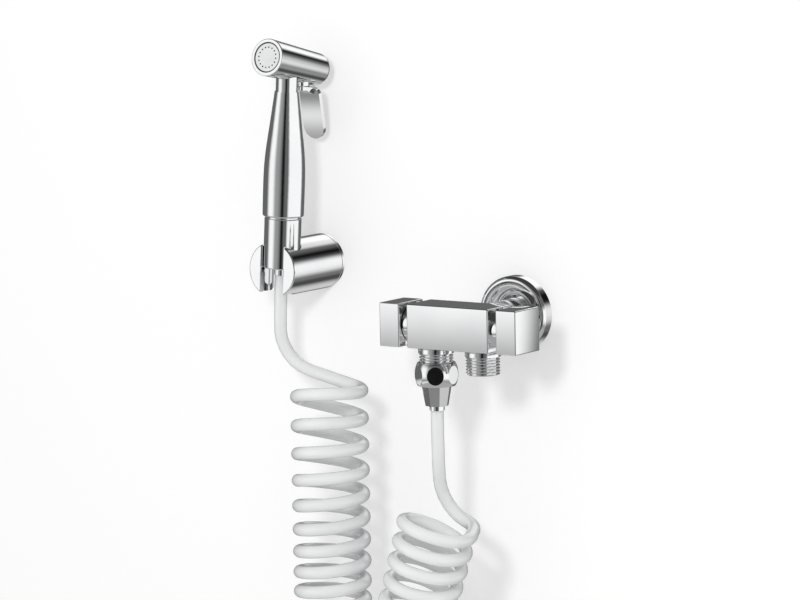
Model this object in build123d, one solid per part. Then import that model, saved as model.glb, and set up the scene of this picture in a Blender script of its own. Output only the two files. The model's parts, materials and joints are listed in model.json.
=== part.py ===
from build123d import *
import math
import os

os.makedirs("parts", exist_ok=True)

# Frame of the whole part, in millimetres: the wall is the plane Y = 0 and the room lies at negative Y.
# The origin is where the axis of the valve's inlet meets the wall. +X is to the right along the wall.

# How far a cutting shape runs past the face that it opens
past = 1.0

# Clearance of pieces that slide, turn or seat in a bore
close_fit = 0.05

# Thread of every half inch joint
thread_radius = 10.48
thread_depth = 1.16
thread_pitch = 1.814
thread_lead = 0.45
thread_flank = 0.65
thread_crest = 0.29

# Valve body and knobs, both of one square section
valve_reach = 68.0
valve_section = 27.0
valve_length = 59.0
valve_edge = 0.8
knob_gap = 5.5
knob_length = 14.5
water_bore = 6.0
port_bore = 4.5

# Cartridges, one at each end of the valve body
cartridge_radius = 9.5
cartridge_floor = 7.5
cartridge_wall = 0.9
chamber_length = 14.0
collar_radius = 11.0
collar_clearance = 0.5
port_seal_thickness = 1.2
disc_thickness = 3.0
disc_window_radius = 6.4
disc_window_hub = 1.4
disc_window_angle = 80.0
drive_flange = 2.0
stem_radius = 4.0
stem_in_knob = 9.0
o_ring_width = 2.0
o_ring_depth = 1.1
knob_screw_radius = 2.0
knob_screw_recess = 1.0

# Outlets under the valve body
outlet_offset = 17.0
nipple_collar_radius = 11.0
nipple_collar_length = 3.6
nipple_thread_length = 11.4
nipple_spigot_radius = 8.0
nipple_spigot_length = 3.0
nipple_bore = 7.0

# Inlet pipe and escutcheon
inlet_spigot_radius = 9.0
inlet_spigot_length = 3.5
inlet_hex = 24.0
inlet_hex_length = 6.5
inlet_pipe_radius = 10.2
inlet_thread_length = 14.0
inlet_thread_start = 3.0
escutcheon_radius = 24.0
escutcheon_depth = 9.5
escutcheon_wall = 1.5
escutcheon_lip = 3.0
escutcheon_dish = 5.5
escutcheon_clearance = 0.3

# Fittings of the hose at the left outlet
nut_flats = 24.7
nut_belly_radius = 13.4
nut_end_radius = 11.7
nut_length = 14.2
nut_thread_clearance = 0.12
nut_floor = 4.2
nut_drop = 6.0
nut_hole = 7.2
washer_thickness = 2.0
tail_flange = 2.5
tail_flange_radius = 9.7
tail_fit = 0.1
tail_step = 0.2
cone_top_radius = 9.3
cone_bottom_radius = 7.2
cone_length = 12.0
cone_sides = 8
cone_gap = 0.5
ferrule_wall = 0.65
ferrule_length = 7.5
ferrule_showing = 2.9

# Holder: a round bar square to the wall, turned a little about its own axis
holder_x = -148.5
holder_z = 25.0
holder_lean = 3.5
holder_radius = 17.5
holder_reach = 55.0
holder_bore_setback = 10.5
holder_clearance = 0.35
holder_ledge = 0.5
holder_slot = 18.0
base_flange = 2.0
base_step = 2.0
base_step_radius = 15.0
spigot_radius = 8.0
spigot_wall = 2.0
base_clearance = 0.1
holder_grub_radius = 2.0
grub_recess = 0.8
grub_margin = 0.5
wall_screw_radius = 1.9
wall_screw_head = 3.0
wall_screw_length = 28.0
wall_screw_spacing = 23.0
wall_plug_radius = 3.0
wall_plug_length = 30.0

# Hand spray, heights from the lower end of the sleeve nut upwards
sleeve_radius = 11.65
sleeve_length = 31.9
sleeve_wall = 1.15
sleeve_floor = 9.5
tail_shank = 6.5
sleeve_hole = 6.5
groove_length = 0.9
groove_radius = 10.9
grip_bottom_radius = 13.0
grip_belly_radius = 13.1
grip_shoulder_radius = 12.75
grip_waist_radius = 10.6
grip_top_radius = 7.6
grip_length = 78.8
grip_belly_height = 19.7
grip_shoulder_height = 34.0
grip_waist_height = 54.2
grip_edge = 1.2
grip_bore = 5.1
neck_radius = 7.0
neck_length = 7.5
tube_radius = 5.0
tube_wall = 1.5
stub_spigot_radius = 8.1
stub_spigot_length = 13.0
stub_bore = 3.5

# Head: a tapered barrel whose axis crosses the grip's axis and droops towards the wall
head_droop = 12.3
head_above_neck = 10.7
head_front = 23.0
head_back = 34.0
head_front_radius = 11.75
head_back_radius = 10.3
head_wall = 1.6
head_front_edge = 0.5
head_back_edge = 3.0
plate_recess_radius = 9.65
plate_radius = 8.8
plate_thickness = 1.2
plate_inset = 0.3
plate_ledge = 0.8
spray_holes = 16
spray_hole_radius = 0.5
spray_circle = 6.4

# Valve in the head
seat_rise = 2.1
seat_thickness = 2.0
seat_bore = 2.6
poppet_disc_radius = 3.8
poppet_seal_thickness = 1.0
poppet_disc_thickness = 0.6
poppet_foot_radius = 1.25
poppet_neck_radius = 2.5
fork_gap_below = 0.4
fork_gap_above = 0.3
fork_side_gap = 0.4
fork_thickness = 1.6
fork_half_width = 4.7
fork_tip = 0.5
fork_slot = 9.3
flange_radius = 5.5
flange_thickness = 1.2
guide_pin_radius = 1.45
guide_boss_radius = 2.8
guide_boss_drop = 3.5
guide_depth = 3.7
guide_overlap = 1.0
spring_radius = 2.15
spring_wire = 0.6
spring_turns = 4
spring_clearance = 0.25

# Lever behind the neck, rocking on a pin in a boss under the head
rocker_setback = 16.0
boss_radius = 5.0
boss_drop = 1.1
boss_above_seal = 0.3
rocker_pin_radius = 1.0
rocker_pin_inset = 0.4
rocker_pin_above = 2.0
rocker_radius = 2.0
rocker_clearance = 1.0
rocker_seal_thickness = 1.2
rocker_seal_gap = 0.2
rocker_seal_clearance = 0.4
hub_gap = 0.8
hub_thickness = 2.2
hub_width = 7.2
hub_nose_radius = 3.6
paddle_width = 15.0
paddle_thickness = 2.8
paddle_length = 34.4
paddle_corner = 5.0
paddle_top_step = 1.3
paddle_link_depth = 4.0
paddle_flare = 15.3
paddle_setback = 23.4
lever_screw_radius = 0.7
lever_screw_inset = 0.2

# Hose
hose_radius = 4.0
hose_bore = 2.5
barb_clearance = 0.1
barb_wall = 0.8
barb_reach = 17.0
coil_radius = 20.5
left_coil_x = -103.0
left_coil_y = -60.0
left_coil_top = -42.3
left_coil_foot = -184.0
right_coil_x = -8.2
right_coil_y = -86.0
right_coil_top = -119.5
bend_radius = 37.0
right_coil_lean = 21.0
left_turns = 9.5
bend_turns = 4.9
right_turns = 6.48
start_angle = -5.0
coil_crowding = 0.25
end_turn_lean = 0.2
leaning_turns = 5.0
spray_straight = 36.8
coil_lead_in = 17.4
coil_lead_out = 5.8

# Lengths worked out from the sizes above
half_section = valve_section / 2
half_length = valve_length / 2
knob_inner = half_length + knob_gap
knob_outer = knob_inner + knob_length
holder_place = Pos(holder_x, holder_bore_setback - holder_reach, holder_z) * Rot(0, holder_lean, 0)
holder_front = -holder_bore_setback
holder_wall_side = holder_reach - holder_bore_setback
spray_place = holder_place * Pos(0, 0, holder_ledge)
grip_base = sleeve_length + groove_length
grip_top = grip_base + grip_length
head_height = grip_top + neck_length + head_above_neck
head_place = Pos(0, 0, head_height) * Rot(-90 - head_droop, 0, 0)
droop = math.radians(head_droop)
ferrule_radius = hose_radius + ferrule_wall
sink_depth = wall_screw_head - wall_screw_radius
grub_at = sleeve_radius + holder_clearance + spigot_wall + base_clearance
grub_at += holder_grub_radius + grub_margin
spray_hose_end = sleeve_floor - tail_shank
recess_floor = -head_front + plate_inset + plate_thickness
seat_low = head_height - head_front_radius + head_wall + seat_rise
seat_high = seat_low + seat_thickness
disc_high = seat_high + poppet_seal_thickness + poppet_disc_thickness
fork_low = disc_high + fork_gap_below
fork_high = fork_low + fork_thickness
flange_low = fork_high + fork_gap_above
flange_high = flange_low + flange_thickness
guide_low = head_height + head_front_radius - head_wall - guide_boss_drop
guide_top = guide_low + guide_depth
head_taper = (head_back_radius - head_front_radius) / (head_front + head_back)
rocker_along = rocker_setback / math.cos(droop)
head_radius_at_rocker = head_front_radius + head_taper * (head_front + rocker_along)
head_drop_at_rocker = rocker_setback * math.tan(droop) + head_radius_at_rocker / math.cos(droop)
boss_low = head_height - head_drop_at_rocker - boss_drop
pin_height = boss_low + rocker_pin_above
rocker_seal_low = pin_height + rocker_pin_radius + rocker_seal_gap
rocker_seal_high = rocker_seal_low + rocker_seal_thickness
boss_high = rocker_seal_high + boss_above_seal
hub_high = boss_low - hub_gap
hub_low = hub_high - hub_thickness
nut_top = -half_section - nut_drop - nipple_collar_length
nut_low = nut_top - nut_length
cone_high = nut_low - cone_gap
cone_low = cone_high - cone_length
tail_slim_radius = ferrule_radius - tail_step


def save(name, shape):
    """Writes one piece to its own file."""
    export_step(shape, f"parts/{name}.step")


def rod(radius, low, high):
    """Round bar along Z."""
    return Pos(0, 0, (low + high) / 2) * Cylinder(radius, high - low)


def tube(outer, inner, low, high):
    """Round tube along Z."""
    return rod(outer, low, high) - rod(inner, low, high)


def turned(outline):
    """Solid of revolution about Z from closed lines drawn with radius as X and height as Y."""
    return revolve(Plane.XZ * make_face(outline), Axis.Z)


def threaded(bore, low, high):
    """Tube with the ridges of the half inch thread between two heights."""
    root = thread_radius - thread_depth
    crests = int((high - low - thread_lead) / thread_pitch)
    points = [(bore, low), (root, low)]
    for i in range(crests):
        z = low + thread_lead + i * thread_pitch
        points += [
            (root, z),
            (thread_radius, z + thread_flank),
            (thread_radius, z + thread_flank + thread_crest),
            (root, z + 2 * thread_flank + thread_crest),
        ]
    points += [(root, high), (bore, high)]
    return turned(Polyline(points, close=True))


def along_x(side):
    """Place on the valve's axis whose Z points out of the left (-1) or right (1) end."""
    return Pos(0, -valve_reach, 0) * Rot(0, 90 * side, 0)


def biarc(start, start_way, end, end_way):
    """Two arcs from start to end that leave and arrive along the given unit directions."""
    chord = end - start
    ways = start_way + end_way
    a = 2 * (1 - start_way.dot(end_way))
    b = 2 * chord.dot(ways)
    c = chord.dot(chord)
    reach = (math.sqrt(b * b + 4 * a * c) - b) / (2 * a)
    near = start + start_way * reach
    far = end - end_way * reach
    middle = (near + far) * 0.5
    middle_way = (far - near).normalized()
    return [
        Edge.make_tangent_arc(start, start_way, middle),
        Edge.make_tangent_arc(middle, middle_way, end),
    ]


def coil_edges(point_at, turns, step, lead):
    """Edges of a coil: a straight lead at each end and biarcs of one step of a turn between them."""
    nudge = 0.02

    def way_at(t):
        return (point_at(t + nudge) - point_at(t - nudge)).normalized()

    count = round(turns / step)
    stops = [turns * i / count for i in range(count + 1)]
    points = [point_at(t) for t in stops]
    ways = [way_at(t) for t in stops]
    edges = []
    if lead > 0:
        edges.append(Edge.make_line(points[0] - ways[0] * lead, points[0]))
    for i in range(count):
        edges += biarc(points[i], ways[i], points[i + 1], ways[i + 1])
    if lead > 0:
        edges.append(Edge.make_line(points[-1], points[-1] + ways[-1] * lead))
    return edges


def least_gap(edges, diameter):
    """Least air between parts of a wound tube that are over half a turn apart along it."""
    samples = []
    run = 0.0
    for edge in edges:
        for i in range(8):
            samples.append((run + edge.length * i / 8, edge.position_at(i / 8)))
        run += edge.length
    apart = 6 * diameter
    best = run
    for i, (s, p) in enumerate(samples):
        for t, q in samples[i + 1:]:
            if t - s > apart:
                best = min(best, (p - q).length)
    return best - diameter


def swept(edges, outer, inner=0.0):
    """Round tube along a chain of edges."""
    path = Wire(edges)
    start = Plane(origin=path.position_at(0), z_dir=path.tangent_at(0))
    section = start * Circle(outer)
    if inner > 0:
        section -= start * Circle(inner)
    return sweep(section, path=path)


# Angle valve


def valve_body():
    body = Box(valve_length, valve_section, valve_section)
    body = fillet(body.edges(), valve_edge)
    body = Pos(0, -valve_reach, 0) * body
    for side in (-1, 1):
        body -= along_x(side) * rod(cartridge_radius, cartridge_floor, half_length + past)
        outlet = Pos(side * outlet_offset, -valve_reach, -half_section)
        body -= outlet * rod(water_bore, -past, half_section)
        body -= outlet * rod(nipple_spigot_radius, -past, nipple_spigot_length)
    body -= along_x(1) * rod(port_bore, -cartridge_floor - past, cartridge_floor + past)
    inlet = Pos(0, -valve_reach, 0) * Rot(-90, 0, 0)
    body -= inlet * rod(water_bore, 0, half_section + past)
    body -= inlet * rod(inlet_spigot_radius, half_section - inlet_spigot_length, half_section + past)
    return body


def inlet_nipple():
    back = half_section - valve_reach
    hex_end = back + inlet_hex_length
    pipe = threaded(nipple_bore, -inlet_thread_start, inlet_thread_length)
    pipe += tube(inlet_pipe_radius, nipple_bore, hex_end, -inlet_thread_start)
    pipe += tube(inlet_spigot_radius, nipple_bore, back - inlet_spigot_length, back)
    hexagon = RegularPolygon(inlet_hex / 2, 6, major_radius=False) - Circle(nipple_bore)
    pipe += Pos(0, 0, back) * extrude(hexagon, inlet_hex_length)
    return Rot(-90, 0, 0) * pipe


def escutcheon():
    """Dished round plate: a rim that stands on the wall and a dish that slopes in to the inlet pipe."""
    rim = escutcheon_radius
    wall = escutcheon_wall
    deep = -escutcheon_depth
    hole = inlet_pipe_radius + escutcheon_clearance
    lip = escutcheon_lip
    floor = deep + escutcheon_dish
    crown = (rim - lip, deep)
    foot = (hole + wall, floor)
    inside_crown = (rim - lip, deep + wall)
    inside_foot = (hole + wall, floor + wall)
    outline = [
        Line((rim, 0), (rim, deep + lip)),
        CenterArc((rim - lip, deep + lip), lip, -90, 90),
        TangentArc(crown, foot, tangent=(-1, 0)),
        Line(foot, (hole, floor)),
        Line((hole, floor), (hole, floor + wall)),
        Line((hole, floor + wall), inside_foot),
        TangentArc(inside_crown, inside_foot, tangent=(-1, 0)),
        CenterArc((rim - lip, deep + lip), lip - wall, -90, 90),
        Line((rim - wall, deep + lip), (rim - wall, 0)),
        Line((rim - wall, 0), (rim, 0)),
    ]
    return Rot(-90, 0, 0) * turned(outline)


def outlet_nipple(side):
    low = nipple_collar_length
    high = low + nipple_thread_length
    part = threaded(nipple_bore, low, high)
    part += tube(nipple_collar_radius, nipple_bore, 0, low)
    part += tube(nipple_spigot_radius, nipple_bore, -nipple_spigot_length, 0)
    return Pos(side * outlet_offset, -valve_reach, -half_section) * Rot(180, 0, 0) * part


def windowed_disc(radius, low, high, turn):
    """Ceramic disc along Z with two opposite windows, turned about its axis."""
    disc = rod(radius, low, high)
    reach = 2 * disc_window_radius
    spread = reach * math.tan(math.radians(disc_window_angle / 2))
    wedge = make_face(Polyline((0, 0), (reach, -spread), (reach, spread), close=True))
    wedge = Pos(0, 0, low - past) * extrude(wedge, high - low + 2 * past)
    window = wedge & tube(disc_window_radius, disc_window_hub, low - past, high + past)
    for angle in (turn, turn + 180):
        disc -= Rot(0, 0, angle) * window
    return disc


def cartridge(side):
    """The pieces of one quarter turn cartridge, from the port in the body outwards."""
    place = along_x(side)
    name = "left" if side < 0 else "right"
    inner = cartridge_radius - close_fit - cartridge_wall
    disc_radius = inner - close_fit
    seal_end = cartridge_floor + port_seal_thickness
    fixed_end = seal_end + disc_thickness
    moving_end = fixed_end + disc_thickness
    drive_end = moving_end + drive_flange
    chamber_end = seal_end + chamber_length
    collar_end = knob_inner - collar_clearance
    stem_end = knob_inner + stem_in_knob
    stem_hole = stem_radius + close_fit

    seal = tube(disc_radius, water_bore, cartridge_floor, seal_end)
    save(f"port_seal_{name}", place * seal)
    fixed = windowed_disc(disc_radius, seal_end, fixed_end, 0)
    save(f"fixed_disc_{name}", place * fixed)
    moving = windowed_disc(disc_radius, fixed_end, moving_end, 90)
    save(f"moving_disc_{name}", place * moving)

    body = rod(cartridge_radius - close_fit, seal_end, half_length)
    body += rod(collar_radius, half_length, collar_end)
    body -= rod(inner, seal_end - past, chamber_end)
    body -= rod(stem_hole, chamber_end - past, collar_end + past)
    window = rod(port_bore, -cartridge_radius - past, cartridge_radius + past)
    body -= Pos(0, 0, outlet_offset) * Rot(0, 90, 0) * window
    save(f"cartridge_body_{name}", place * body)

    ring_low = (chamber_end + half_length) / 2
    groove = tube(stem_radius + past, stem_radius - o_ring_depth, ring_low, ring_low + o_ring_width)
    stem = rod(disc_radius, moving_end, drive_end) + rod(stem_radius, drive_end, stem_end)
    save(f"stem_{name}", place * (stem - groove))
    ring = tube(stem_hole, stem_radius - o_ring_depth, ring_low, ring_low + o_ring_width)
    save(f"stem_o_ring_{name}", place * ring)

    knob = Pos(0, 0, (knob_inner + knob_outer) / 2) * Box(valve_section, valve_section, knob_length)
    knob = fillet(knob.edges(), valve_edge)
    knob -= rod(stem_hole, knob_inner - past, stem_end + collar_clearance)
    screw_place = Pos(0, 0, knob_inner + stem_in_knob / 2) * Rot(0, 90 * side, 0)
    knob -= screw_place * rod(knob_screw_radius, 0, half_section + past)
    save(f"knob_{name}", place * knob)
    screw = rod(knob_screw_radius, stem_radius, half_section - knob_screw_recess)
    save(f"knob_screw_{name}", place * screw_place * screw)


# Hose fittings. Each end is built along Z with the hose at negative Z.


def hex_nut():
    """Six sided nut whose flats cut a barrel, so that each flat is an oval."""
    low = -nut_length
    middle = low / 2
    barrel = turned(
        [
            Line((0, low), (nut_end_radius, low)),
            ThreePointArc((nut_end_radius, low), (nut_belly_radius, middle), (nut_end_radius, 0)),
            Line((nut_end_radius, 0), (0, 0)),
            Line((0, 0), (0, low)),
        ]
    )
    flats = extrude(RegularPolygon(nut_flats / 2, 6, major_radius=False, rotation=30), -nut_length)
    nut = barrel & flats
    nut -= rod(thread_radius + nut_thread_clearance, nut_floor + low, past)
    return nut - rod(nut_hole, low - past, 0)


def hose_tail(neck_radius, flange_low, neck_end, hose_end):
    """Flanged tail: flange, shank, a slimmer shank where a second one fits, and the barb in the hose."""
    bore = hose_bore - barb_clearance - barb_wall
    barb = hose_bore - barb_clearance
    tail = tube(tail_flange_radius, bore, flange_low, flange_low + tail_flange)
    tail += tube(neck_radius, bore, neck_end, flange_low)
    if hose_end < neck_end:
        tail += tube(tail_slim_radius, bore, hose_end, neck_end)
    tail += tube(barb, bore, hose_end - barb_reach, hose_end)
    return tail


# Holder, along Y, with Z up and its origin on the axis of the upright bore


def bar(radius, front, back):
    """Round bar along Y."""
    return Rot(-90, 0, 0) * rod(radius, front, back)


def holder_body():
    back = holder_wall_side - base_flange
    bore = sleeve_radius + holder_clearance
    body = bar(holder_radius, holder_front, back)
    body = fillet(body.edges(), valve_edge)
    body -= rod(bore, holder_ledge, holder_radius + past)
    body -= rod(holder_slot / 2, -holder_radius - past, holder_radius + past)
    body -= Pos(0, holder_front, 0) * Box(holder_slot, -2 * holder_front, 3 * holder_radius)
    body -= bar(spigot_radius + base_clearance, bore + spigot_wall, back + past)
    body -= bar(base_step_radius + base_clearance, back - base_step - base_clearance, back + past)
    grub = Pos(0, grub_at, 0) * rod(holder_grub_radius, -holder_radius - past, -spigot_radius)
    return body - grub


def holder_base():
    back = holder_wall_side
    front = back - base_flange - base_step
    bore = sleeve_radius + holder_clearance
    base = bar(holder_radius, back - base_flange, back)
    base += bar(base_step_radius, front, back)
    base += bar(spigot_radius, bore + spigot_wall + base_clearance, back)
    hole_radius = wall_screw_radius + base_clearance
    sink = Cone(wall_screw_head + base_clearance, hole_radius, sink_depth)
    sink = Rot(-90, 0, 0) * Pos(0, 0, front + sink_depth / 2) * sink
    hole = bar(hole_radius, front - past, back + past) + sink
    for side in (-1, 1):
        base -= Pos(side * wall_screw_spacing / 2, 0, 0) * hole
    return base


def wall_screws():
    front = holder_wall_side - base_flange - base_step
    screw = bar(wall_screw_radius, front + sink_depth, front + wall_screw_length)
    sink = Rot(-90, 0, 0) * Pos(0, 0, front + sink_depth / 2)
    screw += sink * Cone(wall_screw_head, wall_screw_radius, sink_depth)
    half = wall_screw_spacing / 2
    return Compound([Pos(-half, 0, 0) * screw, Pos(half, 0, 0) * screw])


def wall_plugs():
    back = holder_wall_side
    plug = bar(wall_plug_radius, back, back + wall_plug_length)
    plug -= bar(wall_screw_radius, back - past, back + wall_screw_length - base_flange - base_step)
    half = wall_screw_spacing / 2
    return Compound([Pos(-half, 0, 0) * plug, Pos(half, 0, 0) * plug])


# Hand spray


def sleeve_nut():
    nut = rod(sleeve_radius, 0, sleeve_length)
    nut = fillet(nut.edges(), valve_edge)
    nut -= rod(sleeve_radius - sleeve_wall, sleeve_floor, sleeve_length + past)
    return nut - rod(sleeve_hole, -past, sleeve_floor + past)


def inlet_stub():
    """Thread that the sleeve nut holds, the groove collar and the spigot inside the grip."""
    low = sleeve_floor + tail_flange + washer_thickness
    stub = tube(groove_radius, stub_bore, sleeve_length, grip_base)
    stub += tube(stub_spigot_radius, stub_bore, grip_base, grip_base + stub_spigot_length)
    thread = Rot(180, 0, 0) * threaded(stub_bore, -sleeve_length, -low)
    return stub + thread


def grip_shell():
    """Turned grip: a straight lower part, a soft shoulder, and a cone from there to the neck."""
    edge = grip_edge
    corner = grip_bottom_radius - edge
    outline = [
        Line((grip_bore, grip_base), (corner, grip_base)),
        CenterArc((corner, grip_base + edge), edge, -90, 90),
        Spline(
            (grip_bottom_radius, grip_base + edge),
            (grip_belly_radius, grip_base + grip_belly_height),
            (grip_shoulder_radius, grip_base + grip_shoulder_height),
            (grip_waist_radius, grip_base + grip_waist_height),
            (grip_top_radius, grip_top),
            tangents=[(0.01, 1), (-0.122, 1)],
        ),
        Line((grip_top_radius, grip_top), (grip_bore, grip_top)),
        Line((grip_bore, grip_top), (grip_bore, grip_base)),
    ]
    grip = turned(outline)
    return grip - rod(stub_spigot_radius, grip_base - past, grip_base + stub_spigot_length)


def head_solid(grow=0.0):
    """Tapered barrel of the head in its own frame, face at negative Z, thinner by a negative growth."""
    length = head_front + head_back
    middle = (head_back - head_front) / 2
    return Pos(0, 0, middle) * Cone(head_front_radius + grow, head_back_radius + grow, length)


def head_shell():
    """Hollow barrel with the boss of the rocker in its floor and the guide of the poppet in its roof."""
    outer = head_solid()
    outer = fillet(outer.faces().sort_by(Axis.Z)[-1].edges(), head_back_edge)
    outer = fillet(outer.faces().sort_by(Axis.Z)[0].edges(), head_front_edge)
    outer = head_place * outer
    cavity = head_solid(-head_wall) - rod(2 * head_front_radius, head_back - head_wall, head_back + past)
    cavity -= rod(2 * head_front_radius, -head_front - past, recess_floor + plate_ledge)
    cavity += rod(plate_radius - plate_ledge, recess_floor - past, recess_floor + plate_ledge + past)
    cavity += rod(plate_recess_radius, -head_front - past, recess_floor)
    cavity = head_place * cavity
    boss = Pos(0, rocker_setback, 0) * rod(boss_radius, boss_low, boss_high)
    guide = rod(guide_boss_radius, guide_low, head_height + 2 * head_front_radius)
    guide &= head_place * head_solid()
    shell = outer - cavity + guide + boss
    shell -= rod(tube_radius + close_fit, grip_top, seat_high)
    shell -= rod(guide_pin_radius + close_fit, guide_low - past, guide_top)
    shell -= Pos(0, rocker_setback, 0) * rod(rocker_radius + rocker_clearance, boss_low - past, head_height)
    shell -= rocker_pin()
    return shell


def rocker_pin(grow=0.0):
    half = boss_radius - rocker_pin_inset
    pin = Rot(0, 90, 0) * rod(rocker_pin_radius + grow, -half, half)
    return Pos(0, rocker_setback, pin_height) * pin


def neck_ring():
    ring = tube(neck_radius, grip_bore, grip_top, head_height)
    return ring - head_place * head_solid()


def spray_plate():
    front = -head_front + plate_inset
    plate = rod(plate_radius, front, recess_floor)
    holes = PolarLocations(spray_circle, spray_holes)
    for hole in holes:
        plate -= hole * rod(spray_hole_radius, front - past, recess_floor + past)
    return head_place * plate


def plate_gasket():
    return head_place * tube(plate_recess_radius, plate_radius, -head_front + plate_inset, recess_floor)


def poppet():
    """Turned poppet: disc on the seat, neck in the fork, flange above it and the pin in the guide."""
    disc_low = seat_high + poppet_seal_thickness
    body = rod(poppet_foot_radius, seat_high, disc_low)
    body += rod(poppet_disc_radius, disc_low, disc_high)
    body += rod(poppet_neck_radius, disc_high, flange_low)
    body += rod(flange_radius, flange_low, flange_high)
    return body + rod(guide_pin_radius, flange_high, guide_low + guide_overlap)


def poppet_seal():
    return tube(poppet_disc_radius, poppet_foot_radius, seat_high, seat_high + poppet_seal_thickness)


def poppet_spring():
    """Spring round the poppet's pin, between its flange and the guide."""
    low = flange_high + spring_clearance + spring_wire / 2
    rise = guide_low - spring_clearance - spring_wire / 2 - low

    def point_at(turn):
        angle = 2 * math.pi * turn
        height = low + rise * turn / spring_turns
        return Vector(spring_radius * math.cos(angle), spring_radius * math.sin(angle), height)

    edges = coil_edges(point_at, spring_turns, 0.5, 0)
    print("least gap of the poppet spring to itself", round(least_gap(edges, spring_wire), 2))
    return swept(edges, spring_wire / 2)


def rocker():
    """Upright stem on the pin and a fork that reaches forward under the poppet's flange."""
    stem = Pos(0, rocker_setback, 0) * rod(rocker_radius, hub_low, fork_high)
    reach = rocker_setback + rocker_radius - fork_tip
    middle = (fork_low + fork_high) / 2
    fork = Pos(0, fork_tip + reach / 2, middle) * Box(2 * fork_half_width, reach, fork_thickness)
    slot = Box(2 * (poppet_neck_radius + fork_side_gap), 2 * fork_slot, 2 * fork_thickness)
    fork -= Pos(0, 0, middle) * slot
    return stem + fork - rocker_pin(close_fit)


def rocker_seal():
    inner = rocker_radius + rocker_seal_clearance
    ring = tube(rocker_radius + rocker_clearance, inner, rocker_seal_low, rocker_seal_high)
    return Pos(0, rocker_setback, 0) * ring


def lever_paddle():
    """Tongue with a full round lower end and, sloping up from it, the hub that grips the rocker's stem."""
    half = paddle_width / 2
    top = hub_high - paddle_top_step
    corner = half - paddle_corner
    outline = [
        Line((-half, -paddle_corner), (-half, half - paddle_length)),
        CenterArc((0, half - paddle_length), half, 180, 180),
        Line((half, half - paddle_length), (half, -paddle_corner)),
        CenterArc((corner, -paddle_corner), paddle_corner, 0, 90),
        Line((corner, 0), (-corner, 0)),
        CenterArc((-corner, -paddle_corner), paddle_corner, 90, 90),
    ]
    plate = extrude(Plane.XZ * make_face(outline), paddle_thickness, dir=(0, 1, 0))
    plate = Pos(0, paddle_setback, top) * Rot(paddle_flare, 0, 0) * plate
    hub = Pos(0, rocker_setback, 0) * rod(hub_nose_radius, hub_low, hub_high)
    back = paddle_setback + paddle_thickness / 2
    side = Polyline(
        (rocker_setback, hub_low),
        (rocker_setback, hub_high),
        (back, top),
        (back, top - paddle_link_depth),
        close=True,
    )
    hub += extrude(Plane.YZ * make_face(side), hub_width / 2, both=True)
    paddle = plate + hub - Pos(0, rocker_setback, 0) * rod(rocker_radius, hub_low - past, hub_high + past)
    return paddle - lever_screw()


def lever_screw():
    front = rocker_setback - hub_nose_radius + lever_screw_inset
    screw = bar(lever_screw_radius, front, rocker_setback - rocker_radius)
    return Pos(0, 0, (hub_low + hub_high) / 2) * screw


# Hose. It leaves the hand spray, winds down, turns round and winds up again, and rises to the valve.


def coil_axis(s):
    """Point, inward and outward directions of the coil's axis at a distance along it."""
    left = Vector(left_coil_x, left_coil_y, 0)
    right = Vector(right_coil_x, right_coil_y, 0)
    across = (right - left).normalized()
    upward = Vector(0, 0, 1)
    leg = left_coil_top - left_coil_foot
    sweep_angle = math.pi - math.radians(right_coil_lean)
    arc = bend_radius * sweep_angle
    centre = left + across * bend_radius + upward * left_coil_foot
    if s < leg:
        return left + upward * (left_coil_top - s), across
    angle = min((s - leg) / bend_radius, sweep_angle)
    outward = across * -math.cos(angle) - upward * math.sin(angle)
    point = centre + outward * bend_radius
    if s > leg + arc:
        ahead = across * math.sin(angle) - upward * math.cos(angle)
        point += ahead * (s - leg - arc)
    return point, outward * -1


def coil_turn(turn):
    """Point of the coil's centre line after a number of turns."""
    leg = left_coil_top - left_coil_foot
    arc = bend_radius * (math.pi - math.radians(right_coil_lean))
    end_of_bend = coil_axis(leg + arc)[0].Z
    rise = (right_coil_top - end_of_bend) / math.cos(math.radians(right_coil_lean))
    bend_start = left_turns
    bend_end = left_turns + bend_turns
    last = bend_end + right_turns
    if turn < bend_start:
        share = turn / left_turns
        s = leg * share * (1 + coil_crowding * (1 - share))
    elif turn < bend_end:
        s = leg + arc * (turn - bend_start) / bend_turns
    else:
        s = leg + arc + rise * (turn - bend_end) / right_turns
    point, inward = coil_axis(s)
    across = (Vector(right_coil_x, right_coil_y, 0) - Vector(left_coil_x, left_coil_y, 0)).normalized()
    back = Vector(0, 0, 1).cross(across)
    angle = math.radians(start_angle) + 2 * math.pi * turn
    spoke = back * math.cos(angle) + inward * math.sin(angle)
    # The hose pulls its first and last turns down at the back. The pull fades out over a few turns.
    from_end = min(turn, last - turn)
    pull = end_turn_lean * max(0, 1 - from_end / leaning_turns)
    sag = Vector(0, 0, -pull * math.cos(angle))
    return point + (spoke + sag) * coil_radius


def hose_stretch(points, name):
    """Hose along straight runs joined by arcs, each as large as its two runs allow."""
    radii = []
    for before, at, after in zip(points, points[1:], points[2:]):
        run_in = at - before
        run_out = after - at
        half_turn = math.radians(run_in.get_angle(run_out)) / 2
        radii.append(0.45 * min(run_in.length, run_out.length) / math.tan(half_turn))
    print(name, "bend radii", [round(r, 1) for r in radii])
    path = FilletPolyline(*points, radius=radii)
    print(name, "length", round(path.length))
    return swept(path.edges(), hose_radius, hose_bore)


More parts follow.
